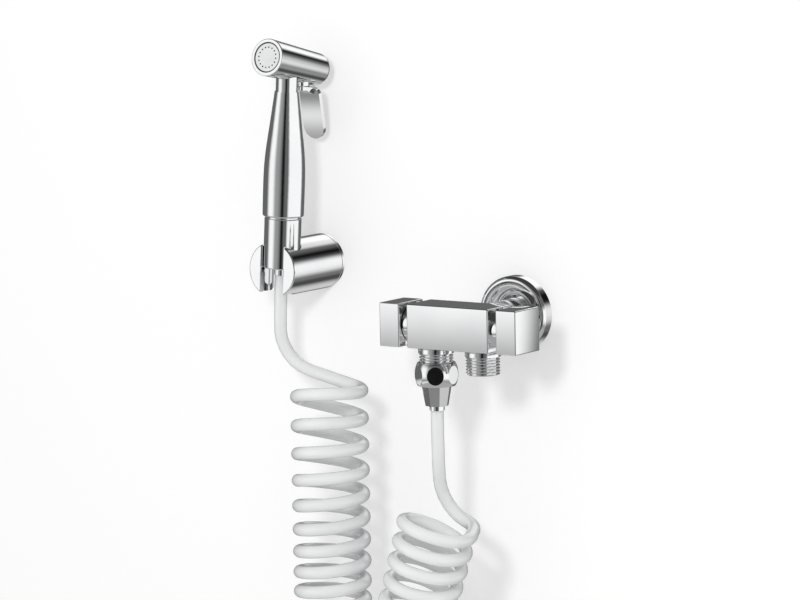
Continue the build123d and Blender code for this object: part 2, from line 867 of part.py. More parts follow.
def hose():
    turns = left_turns + bend_turns + right_turns
    edges = coil_edges(coil_turn, turns, 0.5, 2 * hose_radius)
    length = sum(edge.length for edge in edges)
    print("coil length", round(length), "least gap to itself", round(least_gap(edges, 2 * hose_radius), 2))
    coil = swept(edges, hose_radius, hose_bore)
    save("hose_coil", coil)

    start = edges[0].position_at(0)
    start_way = edges[0].tangent_at(0)
    end = edges[-1].position_at(1)
    end_way = edges[-1].tangent_at(1)
    spray_end = (spray_place * Pos(0, 0, spray_hose_end)).position
    straight_end = (spray_place * Pos(0, 0, spray_hose_end - spray_straight)).position
    route = [
        spray_end,
        straight_end,
        Vector(-151.2, -42.6, -22.3),
        Vector(-142.3, -39.0, -37.0),
        start - start_way * coil_lead_in,
        start,
    ]
    save("hose_spray_end", hose_stretch(route, "spray end"))
    valve_end = Vector(-outlet_offset, -valve_reach, cone_low + ferrule_length - ferrule_showing)
    route = [
        end,
        end + end_way * coil_lead_out,
        Vector(0.2, -57.3, -124.0),
        Vector(-14.1, -53.2, -119.9),
        Vector(-22.8, -56.3, -106.4),
        Vector(-outlet_offset, -valve_reach, -87.6),
        valve_end,
    ]
    save("hose_valve_end", hose_stretch(route, "valve end"))


def main():
    save("valve_body", valve_body())
    save("inlet_nipple", inlet_nipple())
    save("escutcheon", escutcheon())
    save("outlet_nipple_left", outlet_nipple(-1))
    save("outlet_nipple_right", outlet_nipple(1))
    cartridge(-1)
    cartridge(1)

    outlet = Pos(-outlet_offset, -valve_reach, 0)
    nipple_end = -half_section - nipple_collar_length - nipple_thread_length
    tail_top = nipple_end - washer_thickness
    save("hose_nut", outlet * Pos(0, 0, nut_top) * hex_nut())
    save("hose_nut_washer", outlet * tube(tail_flange_radius, stub_bore, tail_top, nipple_end))
    hose_top = cone_low + ferrule_length - ferrule_showing
    tail = hose_tail(nut_hole - tail_fit, tail_top - tail_flange, cone_high, hose_top)
    save("hose_tail_valve", outlet * tail)
    cone = loft(
        [
            Pos(0, 0, cone_low) * RegularPolygon(cone_bottom_radius, cone_sides),
            Pos(0, 0, cone_high) * RegularPolygon(cone_top_radius, cone_sides),
        ]
    )
    cone -= rod(tail_slim_radius, cone_low, cone_high + past)
    cone -= rod(ferrule_radius, cone_low - past, hose_top)
    save("hose_cone", outlet * cone)
    ferrule_low = cone_low - ferrule_showing
    save("hose_ferrule_valve", outlet * tube(ferrule_radius, hose_radius, ferrule_low, hose_top))

    save("holder_body", holder_place * holder_body())
    save("holder_base", holder_place * holder_base())
    grub = rod(holder_grub_radius, grub_recess - holder_radius, -spigot_radius)
    save("holder_grub_screw", holder_place * Pos(0, grub_at, 0) * grub)
    save("wall_screws", holder_place * wall_screws())
    save("wall_plugs", holder_place * wall_plugs())

    washer_low = sleeve_floor + tail_flange
    ferrule = tube(ferrule_radius, hose_radius, spray_hose_end - ferrule_length, spray_hose_end)
    spray_pieces = {
        "sleeve_nut": sleeve_nut(),
        "sleeve_washer": tube(tail_flange_radius, stub_bore, washer_low, washer_low + washer_thickness),
        "hose_tail_spray": hose_tail(sleeve_hole - tail_fit, sleeve_floor, spray_hose_end, spray_hose_end),
        "hose_ferrule_spray": ferrule,
        "inlet_stub": inlet_stub(),
        "grip_shell": grip_shell(),
        "water_tube": tube(tube_radius, tube_radius - tube_wall, grip_base + stub_spigot_length, seat_low),
        "neck_ring": neck_ring(),
        "head_shell": head_shell(),
        "spray_plate": spray_plate(),
        "plate_gasket": plate_gasket(),
        "valve_seat": tube(tube_radius, seat_bore, seat_low, seat_high),
        "poppet": poppet(),
        "poppet_seal": poppet_seal(),
        "poppet_spring": poppet_spring(),
        "rocker": rocker(),
        "rocker_pin": rocker_pin(),
        "rocker_seal": rocker_seal(),
        "lever_paddle": lever_paddle(),
        "lever_screw": lever_screw(),
    }
    for name, shape in spray_pieces.items():
        save(name, spray_place * shape)
    hose()


main()
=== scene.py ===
# %% [markdown]
# # A bidet shower on its wall
# The object is a small bathroom set: a hand spray with a lever, a round holder that carries it, an
# angle valve with two square knobs, and a curly hose that joins them. Nearly all of it is chrome, so
# most of the work is in what the chrome reflects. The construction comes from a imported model, called
# the frame here. It gives every piece its true size and place, in metres, with the wall at Y = 0 and +Z
# up. The script adds the hose, the cut threads and the spray nozzles, and then the finishes and the
# studio.

# %% Load the frame
import bpy
import json
import math
from mathutils import Matrix, Vector


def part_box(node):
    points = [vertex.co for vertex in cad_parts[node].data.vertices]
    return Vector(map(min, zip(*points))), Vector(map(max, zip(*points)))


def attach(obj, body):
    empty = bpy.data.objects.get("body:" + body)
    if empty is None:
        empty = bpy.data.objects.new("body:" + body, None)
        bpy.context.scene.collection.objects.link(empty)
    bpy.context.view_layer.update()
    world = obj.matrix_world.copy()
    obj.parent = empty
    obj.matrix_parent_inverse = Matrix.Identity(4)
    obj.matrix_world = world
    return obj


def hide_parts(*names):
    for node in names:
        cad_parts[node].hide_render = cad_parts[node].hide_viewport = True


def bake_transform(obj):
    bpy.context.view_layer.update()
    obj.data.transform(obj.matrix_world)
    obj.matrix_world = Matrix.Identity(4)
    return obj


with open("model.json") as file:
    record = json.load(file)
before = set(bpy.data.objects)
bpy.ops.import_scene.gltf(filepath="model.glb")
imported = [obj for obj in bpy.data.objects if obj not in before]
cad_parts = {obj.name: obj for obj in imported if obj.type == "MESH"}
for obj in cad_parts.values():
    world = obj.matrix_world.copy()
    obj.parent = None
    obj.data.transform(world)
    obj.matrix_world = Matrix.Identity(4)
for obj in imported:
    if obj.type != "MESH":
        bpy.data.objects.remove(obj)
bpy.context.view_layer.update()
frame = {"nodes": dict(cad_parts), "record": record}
print("nodes in the frame:", len(frame["nodes"]))

# %% [markdown]
# A long lens from three metres away keeps the edges of the valve nearly parallel, as in a catalogue
# picture. The camera could be aimed with a constraint, but its three axes are worked out here instead,
# because the picture is also rolled by one degree, and a matrix holds all of that in one place.

# %% Camera
view_azimuth = math.radians(34.1)
view_elevation = math.radians(7.35)
view_roll = math.radians(-1.0)
view_distance = 3.0
view_target = Vector((-0.062, -0.040, 0.00936))
image_width = 800
focal_length_pixels = 4836

backward = Vector((
    math.sin(view_azimuth) * math.cos(view_elevation),
    -math.cos(view_azimuth) * math.cos(view_elevation),
    math.sin(view_elevation),
))
level_right = Vector((math.cos(view_azimuth), math.sin(view_azimuth), 0))
level_up = backward.cross(level_right)
camera_right = level_right * math.cos(view_roll) + level_up * math.sin(view_roll)
camera_up = level_up * math.cos(view_roll) - level_right * math.sin(view_roll)

camera_data = bpy.data.cameras.new("catalogue_lens")
camera_data.lens = camera_data.sensor_width * focal_length_pixels / image_width
camera = bpy.data.objects.new("catalogue_camera", camera_data)
turn = Matrix((camera_right, camera_up, backward)).transposed().to_4x4()
camera.matrix_world = Matrix.Translation(view_target + backward * view_distance) @ turn
bpy.context.scene.collection.objects.link(camera)
bpy.context.scene.camera = camera
print("focal length in mm:", round(camera_data.lens, 1))

# %% [markdown]
# The hose is one polyurethane tube, 8 mm thick, wound into a spring by heat. It hangs from the hand
# spray, winds down, turns round under its own weight and winds up again to the valve. A screw modifier
# could make a straight spring, but not one that bends, so the centre line is worked out instead: an
# axis that goes down, round and up, and a point that circles it. The turns crowd towards the foot,
# where less hose hangs below them, and the end turns lean, because the hose pulls at them. The sizes
# are those of the frame.

# %% The axis of the coil
hose_diameter = 0.008
coil_radius = 0.0205
left_coil = Vector((-0.103, -0.060, 0))
right_coil = Vector((-0.0082, -0.086, 0))
left_coil_top = -0.0423
left_coil_foot = -0.184
right_coil_top = -0.1195
bend_radius = 0.037
right_coil_lean = math.radians(21)
left_turns = 9.5
bend_turns = 4.9
right_turns = 6.48
start_angle = math.radians(-5)
crowding = 0.25
end_lean = 0.2
leaning_turns = 5

coils_across = (right_coil - left_coil).normalized()
coils_back = Vector((0, 0, 1)).cross(coils_across)
left_leg = left_coil_top - left_coil_foot
bend_angle = math.pi - right_coil_lean
bend_length = bend_radius * bend_angle


def coil_axis(s):
    """Point of the coil's axis at a distance along it, and the direction to the inside of its bend."""
    if s < left_leg:
        return left_coil + Vector((0, 0, left_coil_top - s)), coils_across
    centre = left_coil + coils_across * bend_radius + Vector((0, 0, left_coil_foot))
    angle = min((s - left_leg) / bend_radius, bend_angle)
    outward = coils_across * -math.cos(angle) - Vector((0, 0, math.sin(angle)))
    ahead = coils_across * math.sin(angle) - Vector((0, 0, math.cos(angle)))
    beyond = max(s - left_leg - bend_length, 0)
    return centre + outward * bend_radius + ahead * beyond, -outward


right_rise = (right_coil_top - coil_axis(left_leg + bend_length)[0].z) / math.cos(right_coil_lean)
all_turns = left_turns + bend_turns + right_turns


def coil_point(turns, radius):
    """Point that circles the coil's axis, after a number of turns."""
    if turns < left_turns:
        share = turns / left_turns
        s = left_leg * share * (1 + crowding * (1 - share))
    elif turns < left_turns + bend_turns:
        s = left_leg + bend_length * (turns - left_turns) / bend_turns
    else:
        s = left_leg + bend_length + right_rise * (turns - left_turns - bend_turns) / right_turns
    centre, inward = coil_axis(s)
    angle = start_angle + 2 * math.pi * turns
    spoke = coils_back * math.cos(angle) + inward * math.sin(angle)
    pull = end_lean * max(0, 1 - min(turns, all_turns - turns) / leaning_turns)
    sag = Vector((0, 0, -pull * math.cos(angle)))
    return centre + (spoke + sag) * radius


# %% [markdown]
# A NURBS curve passes inside its control points, like a rope that cuts every corner. With sixteen
# points to a turn, that draws the coil in by two percent, so its control points stand out by as much.
# At each end the hose runs straight for a few centimetres and then bends to the metal end that holds
# it. Those few points are listed one by one, because no rule gives the way a hose hangs.

# %% The route of the hose
points_per_turn = 16
control_radius = coil_radius / math.cos(math.pi / points_per_turn)
coil_lead = hose_diameter
small_turn = 0.02


def coil_way(turns):
    step = coil_point(turns + small_turn, coil_radius) - coil_point(turns - small_turn, coil_radius)
    return step.normalized()


coil_start = coil_point(0, coil_radius) - coil_way(0) * coil_lead
coil_end = coil_point(all_turns, coil_radius) + coil_way(all_turns) * coil_lead
spray_lean = math.radians(3.5)
spray_axis = Vector((math.sin(spray_lean), 0, math.cos(spray_lean)))
spray_foot = Vector((-0.1485, -0.0445, 0.025)) + spray_axis * 0.0005
spray_exit = spray_foot + spray_axis * 0.003
ferrule_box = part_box("hose_ferrule_valve")
valve_exit = Vector((-0.017, -0.068, ferrule_box[1][2]))

route = [
    spray_exit,
    spray_exit - spray_axis * 0.0368,
    Vector((-0.1512, -0.0426, -0.0223)),
    Vector((-0.1423, -0.0390, -0.0370)),
    coil_start - coil_way(0) * 0.0174,
    coil_start,
]
steps = round(all_turns * points_per_turn)
for i in range(steps + 1):
    route.append(coil_point(all_turns * i / steps, control_radius))
route += [
    coil_end,
    coil_end + coil_way(all_turns) * 0.0058,
    Vector((0.0002, -0.0573, -0.1240)),
    Vector((-0.0141, -0.0532, -0.1199)),
    Vector((-0.0228, -0.0563, -0.1064)),
    Vector((-0.0170, -0.0680, -0.0876)),
    valve_exit,
]
print("control points of the hose:", len(route))

# %% [markdown]
# Geometry Nodes are recipes that turn a simple start into a finished shape, and they suit all that
# follows a path or repeats. Two helpers serve every recipe below. One starts a tree with named inputs.
# The other runs it on a start shape and keeps the result as a plain mesh, so that later steps find an
# ordinary piece.

# %% Helpers for recipes


def put(tree, kind, inputs=None, **settings):
    """Adds a node. Each input is a value or another node's output."""
    node = tree.nodes.new(kind)
    for key, value in settings.items():
        setattr(node, key, value)
    for key, value in (inputs or {}).items():
        if isinstance(value, bpy.types.NodeSocket):
            tree.links.new(value, node.inputs[key])
        else:
            node.inputs[key].default_value = value
    return node


def add(mesh, name):
    """Puts a mesh into the scene as a piece of that name."""
    piece = bpy.data.objects.new(name, mesh)
    bpy.context.scene.collection.objects.link(piece)
    return piece


def new_recipe(name, inputs):
    """Empty geometry tree: a shape goes in with the named values, and a shape comes out."""
    tree = bpy.data.node_groups.new(name, "GeometryNodeTree")
    tree.interface.new_socket("Geometry", in_out="INPUT", socket_type="NodeSocketGeometry")
    for label, kind in inputs.items():
        tree.interface.new_socket(label, in_out="INPUT", socket_type="NodeSocket" + kind)
    tree.interface.new_socket("Geometry", in_out="OUTPUT", socket_type="NodeSocketGeometry")
    return tree, tree.nodes.new("NodeGroupInput").outputs


def finish_recipe(tree, geometry, material):
    """Ends a tree in real geometry that has its material."""
    real = put(tree, "GeometryNodeRealizeInstances", {"Geometry": geometry})
    dressed = put(tree, "GeometryNodeSetMaterial", {"Geometry": real.outputs[0], "Material": material})
    tree.links.new(dressed.outputs[0], tree.nodes.new("NodeGroupOutput").inputs[0])


def run_recipe(tree, start, name, values):
    """Runs a tree on a mesh or curve and keeps the result as a plain mesh."""
    holder = add(start, name)
    modifier = holder.modifiers.new(name, "NODES")
    modifier.node_group = tree
    for item in tree.interface.items_tree:
        if item.in_out == "INPUT" and item.name in values:
            modifier[item.identifier] = values[item.name]
    graph = bpy.context.evaluated_depsgraph_get()
    mesh = bpy.data.meshes.new_from_object(holder.evaluated_get(graph))
    bpy.data.objects.remove(holder)
    mesh.name = name
    print(name, "faces:", len(mesh.polygons))
    return add(mesh, name)


# %% [markdown]
# Chrome has almost no colour of its own. What tells it from a mirror is the polish: very fine
# cloudiness in the gloss and a slow waviness left by the buffing wheel. Brass, brushed steel, rubber,
# plastic and ceramic need the same kind of grain at other sizes, so it is made once, as a shader node
# group. It gives a mask for colour and gloss and a height for bumps. A texture image could do this too,
# but noise is sharp at any size.

# %% Grain that every finish shares


def new_group(name, inputs, outputs):
    group = bpy.data.node_groups.new(name, "ShaderNodeTree")
    for label, (kind, value) in inputs.items():
        socket = group.interface.new_socket(label, in_out="INPUT", socket_type="NodeSocket" + kind)
        socket.default_value = value
    for label in outputs:
        group.interface.new_socket(label, in_out="OUTPUT", socket_type="NodeSocketFloat")
    return group, group.nodes.new("NodeGroupInput").outputs, group.nodes.new("NodeGroupOutput").inputs


grain, grain_in, grain_out = new_group(
    "surface_grain",
    {"Stretch": ("Vector", (1, 1, 1)), "Fine Scale": ("Float", 900), "Broad Scale": ("Float", 40)},
    ["Fine", "Broad"],
)
spot = put(grain, "ShaderNodeTexCoord").outputs["Object"]
stretched = put(grain, "ShaderNodeVectorMath", {0: spot, 1: grain_in["Stretch"]}, operation="MULTIPLY")
for label, detail in (("Fine", 3), ("Broad", 2)):
    noise = put(grain, "ShaderNodeTexNoise", {
        "Vector": stretched.outputs[0], "Scale": grain_in[label + " Scale"], "Detail": detail,
    })
    spread = put(grain, "ShaderNodeMapRange", {"Value": noise.outputs[0], "From Min": 0.3, "From Max": 0.7})
    grain.links.new(spread.outputs[0], grain_out[label])
print("grain outputs:", [socket.name for socket in grain_out if socket.name])

# %% [markdown]
# The faces of the valve, the knobs and the lever are not quite flat. Buffing leaves them crowned by a
# few tenths of a millimetre, and that is why each shows a slow gradient instead of one flat tone. The
# crown is far too small to model, so a second group gives it as a height: highest at the middle of the
# piece and falling with the square of the distance, in metres.

# %% Crown of the flat faces
crown, crown_in, crown_out = new_group(
    "crowned_face",
    {"Middle": ("Vector", (0, 0, 0)), "Half Size": ("Vector", (1, 1, 1)), "Rise": ("Float", 0.0003)},
    ["Height"],
)
spot = put(crown, "ShaderNodeTexCoord").outputs["Object"]
away = put(crown, "ShaderNodeVectorMath", {0: spot, 1: crown_in["Middle"]}, operation="SUBTRACT")
share = put(
    crown, "ShaderNodeVectorMath", {0: away.outputs[0], 1: crown_in["Half Size"]}, operation="DIVIDE",
).outputs[0]
squares = put(crown, "ShaderNodeVectorMath", {0: share, 1: share}, operation="DOT_PRODUCT")
fall = put(crown, "ShaderNodeMath", {0: squares.outputs["Value"], 1: crown_in["Rise"]}, operation="MULTIPLY")
height = put(crown, "ShaderNodeMath", {0: 0.0, 1: fall.outputs[0]}, operation="SUBTRACT")
crown.links.new(height.outputs[0], crown_out["Height"])
print("crown inputs:", [socket.name for socket in crown_in if socket.name])

# %% [markdown]
# One function mixes each finish from the shared grain: two tones, a range of gloss and the depth of the
# broad bumps. The numbers are what sets the finishes apart. Chrome is the smoothest, brushed steel is
# stretched along one direction, and rubber is nearly matt. Constant values go straight on the shader,
# and only what changes over the surface is wired.

# %% Finishes


def new_finish(
    name, tones, gloss, stretch=(1, 1, 1), scales=(900, 40), bump=0.0, metal=0.0, face=None, **constants
):
    """Principled material: tones and gloss are (low, high) pairs, bump a depth in metres, face a crown."""
    material = bpy.data.materials.new(name)
    material.use_nodes = True
    tree = material.node_tree
    shader = tree.nodes["Principled BSDF"]
    shader.inputs["Metallic"].default_value = metal
    for key, value in constants.items():
        shader.inputs[key.replace("_", " ").title().replace("Ior", "IOR")].default_value = value
    texture = put(tree, "ShaderNodeGroup", node_tree=grain)
    texture.inputs["Stretch"].default_value = stretch
    texture.inputs["Fine Scale"].default_value, texture.inputs["Broad Scale"].default_value = scales
    low, high = [(*tone, 1) for tone in tones]
    mix = put(tree, "ShaderNodeMix", {
        "Factor": texture.outputs["Broad"], "A": low, "B": high,
    }, data_type="RGBA")
    tree.links.new(mix.outputs["Result"], shader.inputs["Base Color"])
    shine = put(tree, "ShaderNodeMapRange", {
        "Value": texture.outputs["Fine"], "To Min": gloss[0], "To Max": gloss[1],
    })
    tree.links.new(shine.outputs[0], shader.inputs["Roughness"])
    relief = put(tree, "ShaderNodeBump", {
        "Height": texture.outputs["Broad"], "Distance": bump, "Strength": 1,
    })
    if face:
        curve = put(tree, "ShaderNodeGroup", node_tree=crown)
        for key, value in face.items():
            curve.inputs[key].default_value = value
        whole = put(tree, "ShaderNodeBump", {"Height": curve.outputs[0], "Distance": 1, "Strength": 1})
        tree.links.new(whole.outputs[0], relief.inputs["Normal"])
    tree.links.new(relief.outputs[0], shader.inputs["Normal"])
    return material


chrome_tones = ((0.90, 0.905, 0.915), (0.95, 0.952, 0.957))
chrome_gloss = (0.035, 0.075)
buffing = 0.000002
chrome = new_finish("polished_chrome", chrome_tones, chrome_gloss, bump=buffing, metal=1)
valve_chrome = new_finish(
    "chrome_of_the_square_faces", chrome_tones, chrome_gloss, bump=buffing, metal=1,
    face={"Middle": (0, -0.068, 0.0169), "Half Size": (0.1, 0.0135, 0.0135), "Rise": 0.00036},
)
lever_chrome = new_finish(
    "chrome_of_the_lever", chrome_tones, chrome_gloss, bump=buffing, metal=1,
    face={"Middle": (-0.1425, -0.018, 0.1215), "Half Size": (0.5, 0.5, 0.017), "Rise": 0.00075},
)
steel = new_finish(
    "brushed_steel", ((0.66, 0.665, 0.67), (0.76, 0.765, 0.77)), (0.24, 0.42),
    stretch=(0.05, 1, 1), scales=(2600, 700), bump=0.000003, metal=1,
)
plate_steel = new_finish(
    "satin_plate", ((0.76, 0.765, 0.77), (0.82, 0.825, 0.83)), (0.2, 0.3),
    scales=(1800, 200), bump=0.000001, metal=0.35,
)
brass = new_finish(
    "machined_brass", ((0.66, 0.50, 0.23), (0.78, 0.63, 0.34)), (0.18, 0.36),
    stretch=(1, 1, 0.08), scales=(1800, 300), bump=0.000004, metal=1,
)
# Black rubber for the gaskets and the spray nozzles; on the nozzles its black is painted shade that stands
# for the dark inside the spray holes.
rubber = new_finish(
    "black_rubber_and_hole_shade", ((0.022, 0.022, 0.024), (0.045, 0.045, 0.048)), (0.5, 0.75),
    scales=(1500, 260), bump=0.00002,
)
milky = new_finish(
    "milky_hose", ((0.77, 0.775, 0.78), (0.83, 0.835, 0.835)), (0.16, 0.26),
    scales=(500, 26), bump=0.00001, coat_weight=0.4, coat_roughness=0.05,
    subsurface_weight=1, subsurface_radius=(1, 1, 1), subsurface_scale=0.006,
)
ceramic = new_finish(
    "lapped_ceramic", ((0.86, 0.85, 0.80), (0.92, 0.91, 0.87)), (0.10, 0.20),
    scales=(1200, 160), bump=0.000002,
)
moulded = new_finish(
    "moulded_plastic", ((0.70, 0.70, 0.68), (0.80, 0.80, 0.78)), (0.42, 0.6),
    scales=(1400, 120), bump=0.00001,
)

finish_of_slot = {
    "chrome": chrome, "steel": steel, "brass": brass, "rubber": rubber, "white_hose": milky,
    "ceramic": ceramic, "plastic": moulded,
}
finish_of_node = {
    "valve_body": valve_chrome, "knob_left": valve_chrome, "knob_right": valve_chrome,
    "lever_paddle": lever_chrome, "spray_plate": plate_steel,
}
for row in frame["record"]["subparts"]:
    node = frame["nodes"][row["node"]]
    node.data.materials.clear()
    node.data.materials.append(finish_of_node.get(row["node"], finish_of_slot[row["material_slot"]]))
print("finishes:", len(finish_of_slot), "on", len(frame["nodes"]), "nodes")

# %% [markdown]
# The hose needs the same line twice: as the path that a round section is swept along, and as the list
# of points that says how long it is. A bevelled curve would look the same, but the hose is kept as a
# mesh. So the recipe sweeps a circle along the curve, closes its ends and gives back a mesh, and the
# list of points is read from the bare curve.

# %% Hose


def route_curve(points, name):
    """NURBS curve that follows the control points and ends at the first and the last."""
    curve = bpy.data.curves.new(name, "CURVE")
    curve.dimensions = "3D"
    curve.resolution_u = 3
    spline = curve.splines.new("NURBS")
    spline.points.add(len(points) - 1)
    for control, point in zip(spline.points, points):
        control.co = (*point, 1)
    spline.order_u = 3
    spline.use_endpoint_u = True
    return curve


tube_recipe, tube_in = new_recipe("tube_along_a_path", {
    "Radius": "Float", "Sides": "Int", "Finish": "Material",
})
section = put(tube_recipe, "GeometryNodeCurvePrimitiveCircle", {
    "Resolution": tube_in["Sides"], "Radius": tube_in["Radius"],
})
swept = put(tube_recipe, "GeometryNodeCurveToMesh", {
    "Curve": tube_in["Geometry"], "Profile Curve": section.outputs[0], "Fill Caps": True,
})
soft = put(tube_recipe, "GeometryNodeSetShadeSmooth", {"Geometry": swept.outputs[0], "Shade Smooth": True})
finish_recipe(tube_recipe, soft.outputs[0], tube_in["Finish"])

line_holder = bpy.data.objects.new("hose_line", route_curve(route, "hose_line"))
line_mesh = bpy.data.meshes.new_from_object(line_holder)
hose_line = [vertex.co.copy() for vertex in line_mesh.vertices]
bpy.data.objects.remove(line_holder)
hose_length = sum((b - a).length for a, b in zip(hose_line, hose_line[1:]))
hose = run_recipe(tube_recipe, route_curve(route, "hose_route"), "hose", {
    "Radius": hose_diameter / 2, "Sides": 24, "Finish": milky,
})
print("length of the hose in m:", round(hose_length, 3), "points on its line:", len(hose_line))

# %% [markdown]
# Each outlet of the valve is a threaded nipple. On the real part a blank is turned on a lathe and a
# thread is cut into it, and the mesh is made in the same two steps. The blank is an outline turned
# about the outlet's axis. The cut is a recipe that pulls each point inwards by how far it is from the
# crest of a helix. A spiral with a swept profile could be laid on a rod instead, but it would leave a
# seam under it.

# %% Blank of an outlet
valve_reach = 0.068
valve_half = 0.0135
outlet_offset = 0.017
thread_crest = 0.01048
thread_depth = 0.00116
thread_pitch = 0.001814
nipple_bore = 0.007
collar_drop = 0.0036
nipple_drop = 0.0150


def turned_piece(outline, centre, name, segments=72):
    """Ring turned about an upright axis from a closed outline of (radius, height) points."""
    vertices = []
    for k in range(segments):
        angle = 2 * math.pi * k / segments
        across, back = math.cos(angle), math.sin(angle)
        for radius, height in outline:
            vertices.append((centre.x + radius * across, centre.y + radius * back, height))
    count = len(outline)
    faces = []
    for k in range(segments):
        for i in range(count):
            a = k * count + i
            b = k * count + (i + 1) % count
            shift = count if k < segments - 1 else count - segments * count
            faces.append((a, b, b + shift, a + shift))
    mesh = bpy.data.meshes.new(name)
    mesh.from_pydata(vertices, [], faces)
    return mesh


def nipple_outline():
    """Spigot in the valve, collar, smooth blank of the thread, and the bore, from the top down."""
    spigot, collar, chamfer = 0.008, 0.011, 0.0003
    top = -valve_half
    outline = [(nipple_bore, top + 0.003), (nipple_bore, top - nipple_drop + chamfer)]
    outline.append((nipple_bore + chamfer, top - nipple_drop))
    rows = 84
    for i in range(rows + 1):
        drop = nipple_drop - (nipple_drop - collar_drop) * i / rows
        outline.append((thread_crest, top - drop))
    outline += [
        (collar, top - collar_drop), (collar, top - chamfer), (collar - chamfer, top),
        (spigot, top), (spigot, top + 0.003),
    ]
    return outline


blanks = {}
for side, sign in (("left", -1), ("right", 1)):
    centre = Vector((sign * outlet_offset, -valve_reach, 0))
    blanks[side] = (turned_piece(nipple_outline(), centre, "blank_" + side), centre)
print("points in the outline of a nipple:", len(nipple_outline()))

# %% [markdown]
# The cut needs one number at each point: how far round the helix the nearest crest is. Height divided
# by pitch gives the turn, and the angle round the axis takes away its share of one turn. The fraction
# that is left runs from 0 to 1 between two crests. A map range flattens the crest and the root as on a
# real thread, and another fades the cut out under the collar, where the cutting tool is drawn back.

# %% Thread on the outlets
cut, cut_in = new_recipe("cut_thread", {
    "Axis": "Vector", "Crest": "Float", "Depth": "Float", "Pitch": "Float",
    "Top": "Float", "Bottom": "Float", "Finish": "Material",
})


def number(operation, a, b=0.0):
    return put(cut, "ShaderNodeMath", {0: a, 1: b}, operation=operation).outputs[0]


place = put(cut, "GeometryNodeInputPosition").outputs[0]
spoke = put(cut, "ShaderNodeVectorMath", {0: place, 1: cut_in["Axis"]}, operation="SUBTRACT").outputs[0]
flat = put(cut, "ShaderNodeVectorMath", {0: spoke, 1: (1, 1, 0)}, operation="MULTIPLY").outputs[0]
parts = put(cut, "ShaderNodeSeparateXYZ", {0: spoke}).outputs
radius = put(cut, "ShaderNodeVectorMath", {0: flat}, operation="LENGTH").outputs["Value"]
turn = number("DIVIDE", number("ARCTAN2", parts[1], parts[0]), 2 * math.pi)
climb = number("DIVIDE", parts[2], cut_in["Pitch"])
phase = number("FRACT", number("ADD", number("SUBTRACT", climb, turn), 100.0))
from_crest = number("MULTIPLY", number("ABSOLUTE", number("SUBTRACT", phase, 0.5)), 2.0)
depth = put(cut, "ShaderNodeMapRange", {"Value": from_crest, "From Min": 0.16, "From Max": 0.88}).outputs[0]
fade = put(cut, "ShaderNodeMapRange", {
    "Value": parts[2], "From Min": cut_in["Top"], "From Max": number("SUBTRACT", cut_in["Top"], 0.0006),
    "To Min": 1.0, "To Max": 0.0,
}).outputs[0]
tip = put(cut, "ShaderNodeMapRange", {
    "Value": parts[2], "From Min": cut_in["Bottom"], "From Max": number("ADD", cut_in["Bottom"], 0.0007),
    "To Min": 1.0, "To Max": 0.0,
}).outputs[0]
deepest = number("MAXIMUM", depth, number("MAXIMUM", fade, tip))
inward = put(cut, "ShaderNodeVectorMath", {0: flat}, operation="NORMALIZE").outputs[0]
pull = number("MULTIPLY", number("MULTIPLY", deepest, cut_in["Depth"]), -1.0)
move = put(cut, "ShaderNodeVectorMath", {0: inward, "Scale": pull}, operation="SCALE").outputs[0]
on_blank = number("COMPARE", radius, cut_in["Crest"])
cut.nodes[-1].inputs[2].default_value = 0.0001
below = number("LESS_THAN", parts[2], cut_in["Top"])
chosen = number("MULTIPLY", on_blank, below)
threaded = put(cut, "GeometryNodeSetPosition", {
    "Geometry": cut_in["Geometry"], "Selection": chosen, "Offset": move,
})
finish_recipe(cut, threaded.outputs[0], cut_in["Finish"])

nipples = []
for side, (blank, centre) in blanks.items():
    nipple = run_recipe(cut, blank, "outlet_thread_" + side, {
        "Axis": tuple(centre), "Crest": thread_crest, "Depth": thread_depth, "Pitch": thread_pitch,
        "Top": -valve_half - collar_drop - 0.00002, "Bottom": -valve_half - nipple_drop, "Finish": chrome,
    })
    nipple.data.polygons.foreach_set("use_smooth", [True] * len(nipple.data.polygons))
    nipple.data.set_sharp_from_angle(angle=math.radians(50))
    nipples.append((side, nipple))

# %% [markdown]
# The spray face is a steel disc with a ring of sixteen small nozzles in black rubber that stand a
# little proud, so that lime can be rubbed off with a thumb. Their black is also painted shade: it stands
# for the dark inside the sixteen spray holes. They repeat round a circle, which is what instances are
# for: one small cone is made and set down on each point of a circle, and the ring is then turned into
# the plane of the face. Sixteen cones placed by hand would look the same, but the count could not be
# changed by one number.

# %% Spray nozzles
ring, ring_in = new_recipe("nozzle_ring", {
    "Count": "Int", "Ring Radius": "Float", "Nozzle Radius": "Float", "Length": "Float",
    "Place": "Vector", "Turn": "Rotation", "Finish": "Material",
})
circle = put(ring, "GeometryNodeMeshCircle", {
    "Vertices": ring_in["Count"], "Radius": ring_in["Ring Radius"],
})
tip_share = 0.7
tip_radius = put(ring, "ShaderNodeMath", {
    0: ring_in["Nozzle Radius"], 1: tip_share,
}, operation="MULTIPLY").outputs[0]
cone = put(ring, "GeometryNodeMeshCone", {
    "Vertices": 20, "Radius Top": tip_radius, "Radius Bottom": ring_in["Nozzle Radius"],
    "Depth": ring_in["Length"],
})
copies = put(ring, "GeometryNodeInstanceOnPoints", {
    "Points": circle.outputs[0], "Instance": cone.outputs[0],
})
turned = put(ring, "GeometryNodeTransform", {
    "Geometry": copies.outputs[0], "Translation": ring_in["Place"], "Rotation": ring_in["Turn"],
})
finish_recipe(ring, turned.outputs[0], ring_in["Finish"])

